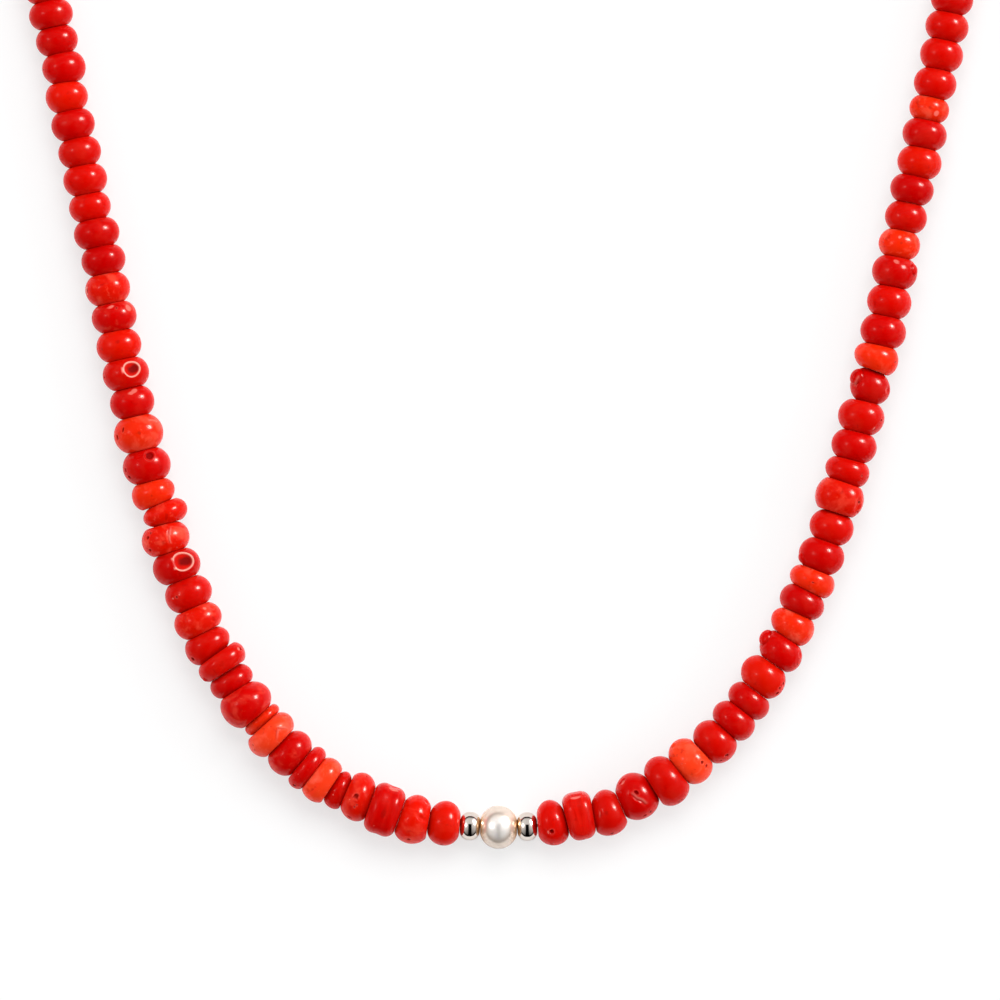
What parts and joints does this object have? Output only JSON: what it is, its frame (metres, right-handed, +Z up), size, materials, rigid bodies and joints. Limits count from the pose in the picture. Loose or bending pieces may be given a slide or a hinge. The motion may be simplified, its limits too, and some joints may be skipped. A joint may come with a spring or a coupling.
{
  "type": "coral bead necklace",
  "caption": "Single-strand necklace of polished red coral rondelles with a white pearl between two silver balls and a barrel clasp, lying as an open loop.",
  "frame": {"origin": "on the surface under the necklace, at the centre of the loop's box", "axes": "+X across the loop towards the picture's right, +Y from the pearl towards the clasp, +Z up from the surface"},
  "size_m": [0.137, 0.1859, 0.0077],
  "materials": {
    "coral": "polished, deep red to orange-red from bead to bead, with small worm holes",
    "pearl": "white nacre with a faint peach overtone",
    "silver": "polished silver",
    "thread": "plain twisted thread"
  },
  "bodies": {
    "root": {"coral_left": "coral", "coral_right": "coral", "pearl": "pearl", "spacer_left": "silver", "spacer_right": "silver", "clasp": "silver", "thread": "thread"}
  },
  "joints": []
}
